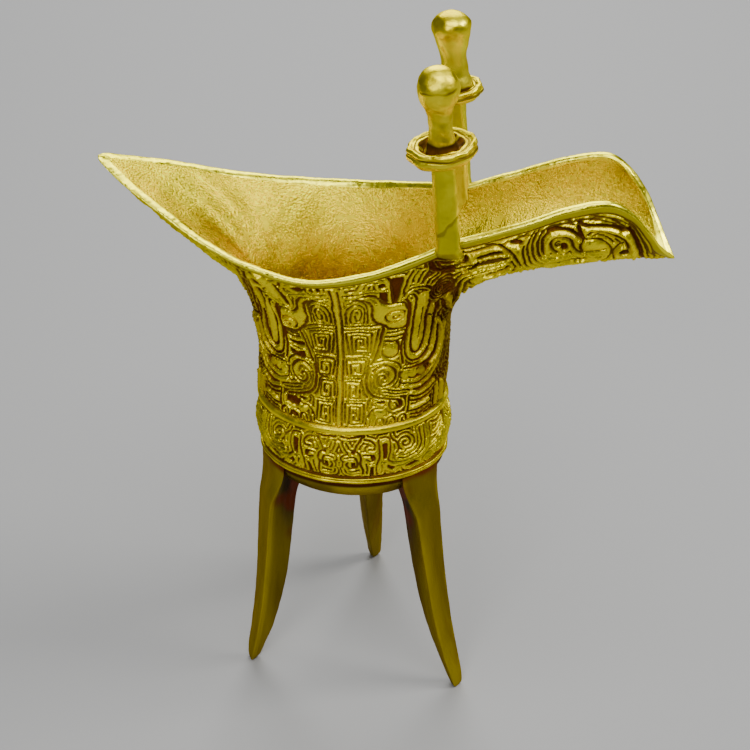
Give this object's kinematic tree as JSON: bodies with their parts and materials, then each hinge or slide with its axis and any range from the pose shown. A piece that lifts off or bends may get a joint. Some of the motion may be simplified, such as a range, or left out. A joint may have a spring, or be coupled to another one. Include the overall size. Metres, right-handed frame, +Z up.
{
  "type": "three-legged wine cup",
  "caption": "Three-legged ritual wine cup with a pouring spout, pointed tail, capped rim posts and a strap handle.",
  "frame": {"origin": "on the ground under the middle of the cup's plan", "axes": "+Z up, +X along the pouring spout, +Y towards the handle"},
  "size_m": [0.1284, 0.0574, 0.165],
  "materials": {
    "gilt_body": "gilt cast bronze, carved relief with red-brown recesses",
    "gilt_legs": "smooth filed gilt bronze, olive-brown in the shaded faces",
    "gilt_posts": "satin filed gilt bronze",
    "gilt_collars": "rough cast gilt bronze with brown pits",
    "gilt_finials": "polished gilt bronze",
    "gilt_handle": "cast gilt bronze, brown in the recesses"
  },
  "bodies": {
    "root": {"vessel_body": "gilt_body", "leg_front_left": "gilt_legs", "leg_front_right": "gilt_legs", "leg_rear": "gilt_legs", "post_shaft_near": "gilt_posts", "post_shaft_far": "gilt_posts", "post_collar_near": "gilt_collars", "post_collar_far": "gilt_collars", "post_finial_near": "gilt_finials", "post_finial_far": "gilt_finials", "handle_strap": "gilt_handle", "handle_ox_head": "gilt_handle"}
  },
  "joints": []
}
